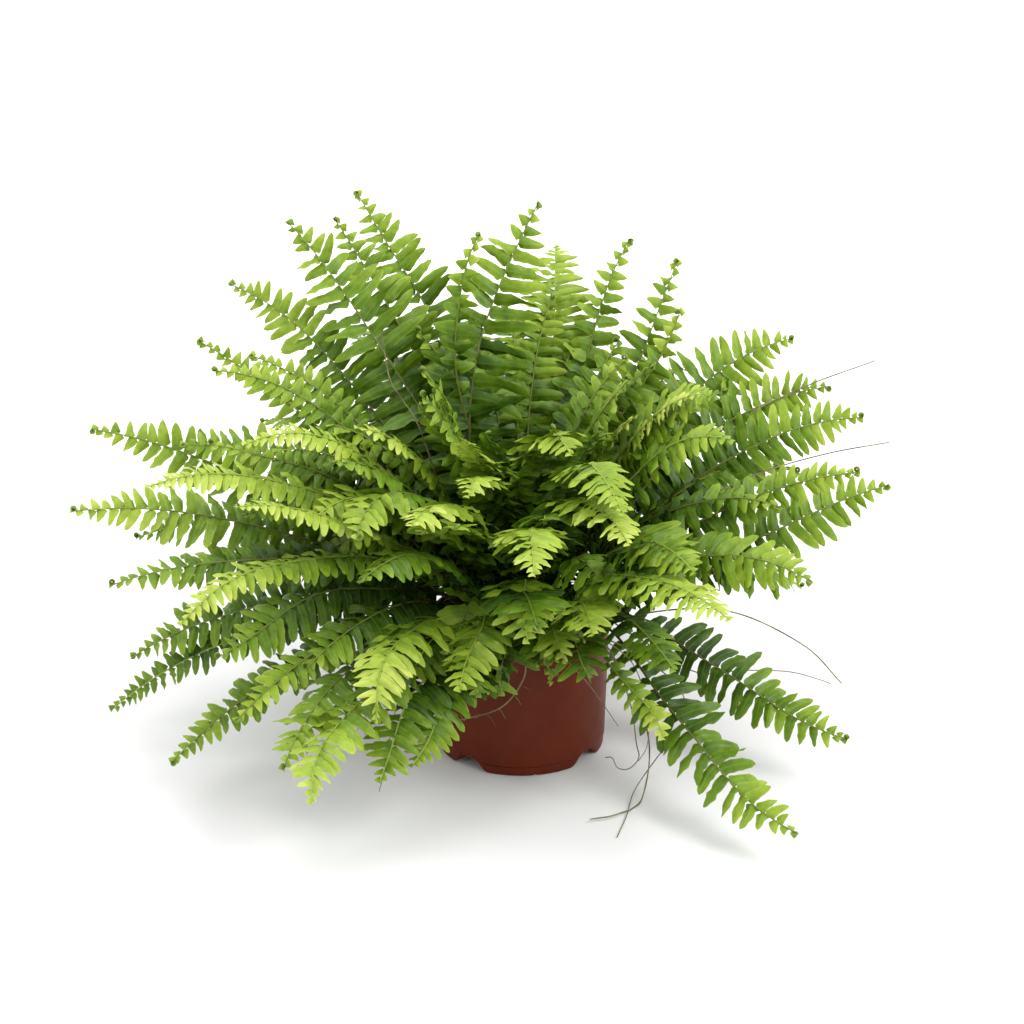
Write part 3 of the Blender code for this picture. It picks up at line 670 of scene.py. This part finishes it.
edge = add_node(tree, "Math", {"operation": "ABSOLUTE"}, _0=spread).outputs[0]
ridge = add_node(tree, "MapRange", Value=edge, From_Min=0.0, From_Max=0.14, To_Min=1.0, To_Max=0.0).outputs[0]
margin = add_node(tree, "MapRange", Value=edge, From_Min=0.55, From_Max=1.0).outputs[0]
level = add_node(tree, "Math", {"operation": "MULTIPLY_ADD"}, _0=mottle, _1=0.40, _2=tone).outputs[0]
level = add_node(tree, "Math", {"operation": "MULTIPLY_ADD"}, _0=margin, _1=0.10, _2=level).outputs[0]
level = add_node(tree, "Math", {"operation": "MULTIPLY_ADD"}, _0=run, _1=0.20, _2=level).outputs[0]
level = add_node(tree, "Math", {"operation": "SUBTRACT"}, _0=level, _1=0.26).outputs[0]
green = colour_ramp(tree, level, [(0.0, "1c3208"), (0.25, "3b5d10"), (0.5, "6a8c1c"), (0.75, "99b234"),
                                  (1.0, "c2cf62")])
pale = add_node(tree, "Math", {"operation": "MULTIPLY"}, _0=ridge, _1=0.25).outputs[0]
green = add_node(tree, "MixRGB", {"blend_type": "MIX"}, Fac=pale, Color1=green,
                 Color2=linear("93ab48")).outputs[0]
is_stalk = add_node(tree, "MapRange", Value=run, From_Min=-0.4, From_Max=-0.6).outputs[0]
stalk_green = colour_ramp(tree, spread, [(0.0, "35270f"), (0.16, "504c20"), (0.45, "7f8e3a"),
                                         (1.0, "9fb54e")])
green = add_node(tree, "MixRGB", {"blend_type": "MIX"}, Fac=is_stalk, Color1=green,
                 Color2=stalk_green).outputs[0]
tree.links.new(green, skin.inputs["Base Color"])
skin.inputs["Roughness"].default_value = 0.40
skin.inputs["Specular IOR Level"].default_value = 0.32
rib_wave = add_node(tree, "Math", {"operation": "MULTIPLY"}, _0=vein, _1=2 * math.pi / 1.1).outputs[0]
rib_wave = add_node(tree, "Math", {"operation": "SINE"}, _0=rib_wave).outputs[0]
surface = add_node(tree, "Math", {"operation": "MULTIPLY_ADD"}, _0=rib_wave, _1=0.12, _2=mottle).outputs[0]
relief = add_node(tree, "Bump", Height=surface, Strength=0.35, Distance=0.0004).outputs["Normal"]
tree.links.new(relief, skin.inputs["Normal"])
glow = add_node(tree, "BsdfTranslucent", Color=green).outputs[0]
blend = add_node(tree, "MixShader", Fac=0.28, _1=skin.outputs[0], _2=glow)
out = next(n for n in tree.nodes if n.type == "OUTPUT_MATERIAL")
tree.links.new(blend.outputs[0], out.inputs["Surface"])

number = 0
for whorl, ring, members in WHORLS:
    for i, (tip, pull, facing, width, tone, spacing) in enumerate(members):
        number += 1
        seat = members[0][0][0] + i * 360.0 / len(members)
        make_frond(f"fern_frond_{number:02d}", frond_curve(whorl, ring, seat, tip, pull), facing,
                   width * MM, tone, spacing, 100 + number, [f"frond_{number:02d}"])

# ---------------------------------------------------------------------------------------------
# Young and inner fronds. Shorter fronds of the same make that fill the plant between the large
# ones: those seen from the front one by one, then the ones that fill it all round.
# ---------------------------------------------------------------------------------------------
# The last nine rows get darker tones, 0.34 to 0.46, than the rows above: painted shade on fronds that lie
# under larger ones round the front and left.
YOUNG = (
    (8, (135, 40, 380), (160, 75, 330), 0.9, 26, 0.62, 11.0, 0.56),
    (12, (12, 115, 325), (12, 70, 240), 0.9, 24, 0.64, 10.5, 0.62),
    (20, (185, 215, 295), (190, 110, 280), 0.7, 26, 0.56, 8.5, 0.30),
    (20, (163, 205, 280), (165, 105, 250), 0.7, 26, 0.56, 8.5, 0.30),
    (22, (190, 220, 248), (190, 115, 235), 0.5, 22, 0.52, 8.2, 0.40),
    (32, (217, 280, 170), (215, 150, 235), 0.1, 36, 0.70, 6.8, 0.30),
    (36, (220, 250, 95), (222, 150, 170), 0.3, 32, 0.58, 8.2, 0.25),
    (36, (256, 170, 120), (255, 110, 180), 0.0, 44, 0.56, 7.2, 0.20),
    (30, (283, 135, 125), (285, 85, 170), 0.0, 34, 0.60, 6.8, 0.25),
    (36, (305, 170, 70), (305, 110, 120), 0.4, 22, 0.74, 7.0, 0.45),
    (16, (290, 200, 235), (285, 110, 290), 0.0, 42, 0.70, 6.4, 0.35),
    (12, (205, 125, 265), (205, 70, 255), 0.2, 32, 0.72, 6.8, 0.30),
    (10, (255, 135, 245), (250, 70, 280), 0.0, 34, 0.62, 7.0, 0.30),
    (10, (333, 90, 270), (330, 45, 240), 0.2, 28, 0.72, 6.2, 0.35),
    (10, (250, 110, 275), (250, 60, 250), 0.2, 32, 0.62, 5.8, 0.30),
    (14, (230, 170, 215), (225, 100, 280), 0.0, 50, 0.50, 8.2, 0.25),
    (34, (243, 208, 62), (241, 150, 128), 0.1, 46, 0.40, 7.6, 0.20),
    (38, (262, 112, 90), (262, 92, 142), 0.0, 46, 0.34, 7.4, 0.20),
    (36, (236, 150, 96), (238, 105, 150), 0.0, 46, 0.36, 7.8, 0.20),
    (38, (276, 104, 108), (276, 84, 146), 0.0, 40, 0.40, 7.2, 0.20),
    (34, (292, 128, 104), (292, 90, 150), 0.1, 42, 0.38, 7.4, 0.20),
    (36, (222, 196, 120), (224, 130, 180), 0.2, 50, 0.38, 8.6, 0.20),
    (34, (208, 236, 118), (208, 150, 190), 0.3, 50, 0.42, 8.8, 0.20),
    (34, (193, 250, 150), (193, 150, 200), 0.4, 50, 0.40, 8.8, 0.20),
    (30, (182, 240, 236), (182, 130, 240), 0.6, 48, 0.46, 9.0, 0.20),
)
for number, (ring, tip, pull, facing, width, tone, spacing, bare) in enumerate(YOUNG, start=1):
    make_frond(f"young_frond_{number:02d}", frond_curve("inner", ring, tip[0], tip, pull), facing,
               width * MM, tone, spacing, 300 + number, bare=bare)

# Inner fronds come in four tiers, each with a reach and a height in mm, the height its bow is
# drawn towards as a share of that, and how far out along its reach that point is.
FILLERS = 64
REACHES = (90, 145, 190, 165)
HEIGHTS = (292, 262, 205, 142)
FRONT_LOWER = (26, 30, 24, 0)       # how much lower each tier stands at the front
CRESTS = (0.82, 0.95, 1.10, 1.45)
PULLS = (0.42, 0.5, 0.55, 0.6)
draw_fill = np.random.default_rng(23)
# Their tones come from a darker range, 0.24 to 0.56, than most large fronds': painted shade inside the plant.
for number in range(FILLERS):
    heading = number * GOLDEN_ANGLE % 360 + draw_fill.normal(0, 6)
    tier = number % 4
    front = ease((math.cos(math.radians(heading - 270)) - 0.35) / 0.5)
    reach = REACHES[tier] + draw_fill.normal(0, 12) - 30 * front * (tier == 3)
    height = HEIGHTS[tier] + draw_fill.normal(0, 14) - FRONT_LOWER[tier] * front
    crest = CRESTS[tier] * height
    make_frond(f"inner_frond_{number + 1:02d}",
               frond_curve("inner", 8 + 9 * tier + draw_fill.uniform(0, 4), heading, (heading, reach, height),
                           (heading + draw_fill.normal(0, 9), PULLS[tier] * reach, crest)),
               draw_fill.uniform(0.0, 0.45), draw_fill.uniform(38, 58) * MM, draw_fill.uniform(0.24, 0.56),
               draw_fill.uniform(7.5, 10.5), 500 + number)

# ---------------------------------------------------------------------------------------------
# Runners. Wiry bare stems, 1.4 mm thick and less, that the crown sends out to root elsewhere:
# grey-brown to beige. Some arch out on the air and some trail down over the pot.
# ---------------------------------------------------------------------------------------------
RUNNER_RADIUS = 0.7 * MM
RUNNER_RING = 46 * MM
RUNNERS = (
    (17, ((95, 30, 186), (150, 45, 230), (205, 52, 258), (258, 60, 276))),
    (354, ((68, -5, 138), (110, -11, 183), (165, -12, 214), (215, -6, 228), (262, 0, 235))),
    (332, ((98, -46, 124), (150, -52, 126), (200, -60, 104), (228, -64, 76))),
    (307, ((54, -62, 110), (88, -92, 56), (86, -100, 4), (68, -122, 3), (48, -130, 3))),
    (286, ((4, -68, 105), (2, -72, 84), (-14, -74, 62), (-46, -72, 50))),
)


def smooth_route(knots, count):
    """Evenly spaced points on a Catmull-Rom spline through knots, kept on or over the surface."""
    knots = np.vstack((2 * knots[0] - knots[1], knots, 2 * knots[-1] - knots[-2]))
    t = np.linspace(0.0, 1.0, 40, endpoint=False)[:, None]
    spans = []
    for k in range(len(knots) - 3):
        p0, p1, p2, p3 = knots[k:k + 4]
        spans.append(p1 + 0.5 * t * (p2 - p0 + t * (2 * p0 - 5 * p1 + 4 * p2 - p3
                                                    + t * (3 * (p1 - p2) + p3 - p0))))
    spans.append(knots[-2:-1])
    line = np.vstack(spans)
    line[:, 2] = np.maximum(line[:, 2], 0.9 * MM)
    return spaced(line, count)


# Dry runner skin: matt, grey-brown with paler beige stretches a few millimetres long.
runner_skin, tree, skin = new_material("runner_dry_skin")
place = add_node(tree, "TexCoord").outputs["Object"]
patch = add_node(tree, "TexNoise", Vector=place, Scale=90.0, Detail=3.0).outputs["Fac"]
straw = colour_ramp(tree, patch, [(0.35, "4c4634"), (0.5, "6b6345"), (0.7, "8c8258")])
tree.links.new(straw, skin.inputs["Base Color"])
skin.inputs["Roughness"].default_value = 0.7
for number, (heading, route) in enumerate(RUNNERS, start=1):
    start = polar(heading, RUNNER_RING, crown_top(RUNNER_RING) + CROWN_GAP + RUNNER_RADIUS)
    line = smooth_route(np.vstack((start, np.array(route) * MM)), 90)
    _, across, up = blade_frame(line, 0.0)
    verts, faces = pipe(line, across, up, np.linspace(0.70, 0.48, len(line)) * MM, 8)
    add_piece(f"bare_runner_{number}", verts, faces, runner_skin, [f"runner_{number}"],
              sharp=75)

# Shorter runners round the front of the pot and above it, each as its radius and its route.
SHORT_RUNNERS = (
    (0.55, ((42, -46, 108), (74, -64, 104), (112, -66, 74), (116, -62, 42), (97, -72, 20), (81, -88, 3),
            (74, -122, 1.6), (66, -152, 1.2))),
    (0.60, ((38, -46, 108), (62, -66, 104), (77, -78, 68), (82, -80, 37), (84, -80, 25), (77, -80, 16),
            (69, -80, 17), (65, -80, 25), (60, -80, 25))),
    (0.45, ((46, -40, 108), (78, -66, 94), (90, -74, 58), (90, -76, 33), (84, -76, 20))),
    (0.45, ((22, -50, 107), (31, -68, 98), (49, -66, 75), (70, -60, 40))),
    (0.50, ((-50, -38, 108), (-76, -66, 88), (-90, -76, 56), (-96, -80, 21), (-101, -88, 2))),
    (0.40, ((-52, -30, 108), (-88, -62, 88), (-113, -74, 50), (-125, -78, 33))),
    (0.55, ((58, -14, 107), (100, -22, 82), (130, -20, 63), (162, -20, 65), (195, -20, 64), (217, -20, 58),
            (227, -20, 54))),
    (0.45, ((58, -10, 108), (84, -18, 106), (107, -20, 94), (122, -20, 89), (134, -20, 84))),
    (0.70, ((-30, -20, 112), (-52, -22, 190), (-71, -16, 251), (-83, -12, 271), (-92, -8, 286),
            (-97, -4, 318))),
    (0.70, ((40, -10, 112), (72, -14, 180), (98, -10, 220), (110, -6, 236), (112, -4, 252))),
)
for number, (girth, route) in enumerate(SHORT_RUNNERS, start=1):
    line = smooth_route(np.array(route) * MM, 80)
    _, across, up = blade_frame(line, 0.0)
    verts, faces = pipe(line, across, up, np.linspace(girth, 0.6 * girth, len(line)) * MM, 7)
    add_piece(f"short_runner_{number:02d}", verts, faces, runner_skin, sharp=75)

# Rootlets: hair roots that lie over the potting mix and the pot's lip, and that sprout along
# the runner that crosses the front of the pot.
draw_root = np.random.default_rng(41)
for number in range(26):
    heading = draw_root.uniform(0, 360) if number % 2 else draw_root.uniform(235, 320)
    reach = draw_root.uniform(56, 71)
    end = 100 - max(0.0, reach - 65) * 2.6
    knots = np.array([polar(heading + draw_root.normal(0, 14) * step, 46 + (reach - 46) * step,
                            97 + (end - 97) * step + 9 * math.sin(math.pi * step) + draw_root.uniform(0, 2))
                      for step in (0.0, 0.35, 0.7, 1.0)]) * MM
    line = smooth_route(knots, 26)
    _, across, up = blade_frame(line, 0.0)
    verts, faces = pipe(line, across, up, np.linspace(0.30, 0.18, len(line)) * MM, 5)
    add_piece(f"rootlet_{number + 1:02d}", verts, faces, runner_skin, sharp=75)
FRONT_ROOTLETS = ((2, 78, 5, -3), (-4, 70, 4, -6), (-16, 61, 5, -8), (-24, 56, 6, -9), (-33, 53, 4, 4),
                  (-40, 51, -3, 5))
for number, (x, z, way, drop) in enumerate(FRONT_ROOTLETS, start=27):
    knots = np.array(((x, -73, z), (x + 0.5 * way, -74, z + 0.35 * drop), (x + way, -74, z + drop))) * MM
    line = smooth_route(knots, 12)
    _, across, up = blade_frame(line, 0.0)
    verts, faces = pipe(line, across, up, np.linspace(0.32, 0.16, len(line)) * MM, 5)
    add_piece(f"rootlet_{number:02d}", verts, faces, runner_skin, sharp=75)

# A tiny new shoot that dangles in front of the pot from the same tangle.
shoot = [np.array(p) * MM for p in ((14, -48, 106), (18, -74, 108), (21, -72, 94), (19, -71, 80))]
make_frond("dangling_shoot", shoot, 0.5, 11 * MM, 0.66, 7.0, 77)

# ---------------------------------------------------------------------------------------------
# Table top, light and camera. A plain white sweep under soft boxes that also glows itself as painted light.
# ---------------------------------------------------------------------------------------------
FLOOR_RADIUS = 2.6
COVE_RADIUS = 1.8
WALL_TOP = 4.5
paper, tree, skin = new_material("white_paper_sweep_glowing")
skin.inputs["Base Color"].default_value = linear("e2e2e2")
skin.inputs["Roughness"].default_value = 0.9
place = add_node(tree, "TexCoord").outputs["Object"]
# Painted light: the paper glows. The glow is nothing within 0.3 m of the pot and full by 1.3 m, and it is
# stronger towards the back than the front.
away = add_node(tree, "VectorMath", {"operation": "LENGTH"}, _0=place).outputs["Value"]
lit = add_node(tree, "MapRange", Value=away, From_Min=0.30, From_Max=1.3, To_Min=0.0, To_Max=1.0).outputs[0]
back = add_node(tree, "SeparateXYZ", Vector=place).outputs["Y"]
back = add_node(tree, "MapRange", Value=back, From_Min=-1.2, From_Max=0.6, To_Min=0.06,
                To_Max=0.62).outputs[0]
lit = add_node(tree, "Math", {"operation": "MULTIPLY"}, _0=lit, _1=back).outputs[0]
skin.inputs["Emission Color"].default_value = (1, 1, 1, 1)
tree.links.new(lit, skin.inputs["Emission Strength"])
cove = np.radians(np.linspace(-90, 0, 24))
sweep_r = np.concatenate(([0.0], np.linspace(0.2, FLOOR_RADIUS, 8),
                          FLOOR_RADIUS + COVE_RADIUS * np.cos(cove)[1:], [FLOOR_RADIUS + COVE_RADIUS]))
sweep_z = np.concatenate((np.zeros(9), COVE_RADIUS * (1.0 + np.sin(cove)[1:]), [WALL_TOP]))
sweep_turn = np.radians(np.arange(0, 360, 5))
sweep_points = np.stack((sweep_r[:, None] * np.cos(sweep_turn), sweep_r[:, None] * np.sin(sweep_turn),
                         np.broadcast_to(sweep_z[:, None], (len(sweep_r), len(sweep_turn)))), axis=-1)
mesh = bpy.data.meshes.new("sweep")
sweep_faces = grid_faces(len(sweep_r), len(sweep_turn), wrap=True)
mesh.from_pydata(sweep_points.reshape(-1, 3), [], sweep_faces.tolist())
mesh.shade_smooth()
mesh.materials.append(paper)
sweep = bpy.data.objects.new("sweep", mesh)
bpy.context.scene.collection.objects.link(sweep)


def soft_box(name, place, target, size, power):
    """A square area light at place that looks at target."""
    light = bpy.data.lights.new(name, "AREA")
    light.size = size
    light.energy = power
    lamp = bpy.data.objects.new(name, light)
    way = np.array(target) - np.array(place)
    lamp.location = place
    lamp.rotation_euler = (math.atan2(np.hypot(way[0], way[1]), -way[2]), 0,
                           math.atan2(way[1], way[0]) - math.pi / 2)
    bpy.context.scene.collection.objects.link(lamp)


soft_box("key", (1.5, -1.3, 2.0), (0, 0, 0.2), 0.9, 42)
soft_box("fill", (-1.5, -1.5, 2.2), (0, 0, 0.2), 1.2, 18)
soft_box("top", (0.0, 0.3, 2.4), (0, 0, 0.2), 1.4, 30)
world = bpy.data.worlds.new("studio")
world.use_nodes = True
world.node_tree.nodes["Background"].inputs["Color"].default_value = (1, 1, 1, 1)
world.node_tree.nodes["Background"].inputs["Strength"].default_value = 0.85
bpy.context.scene.world = world
bpy.context.scene.view_settings.view_transform = "Standard"

LOOK_DOWN = math.radians(22)
CAMERA_DISTANCE = 1.806
AIM = np.array((-0.0063, 0.063, 0.156))
lens = bpy.data.cameras.new("camera")
lens.lens = 85
lens.sensor_width = 36
camera = bpy.data.objects.new("camera", lens)
camera.location = AIM + CAMERA_DISTANCE * np.array((0.0, -math.cos(LOOK_DOWN), math.sin(LOOK_DOWN)))
camera.rotation_euler = (math.pi / 2 - LOOK_DOWN, 0, 0)
bpy.context.scene.collection.objects.link(camera)
bpy.context.scene.camera = camera
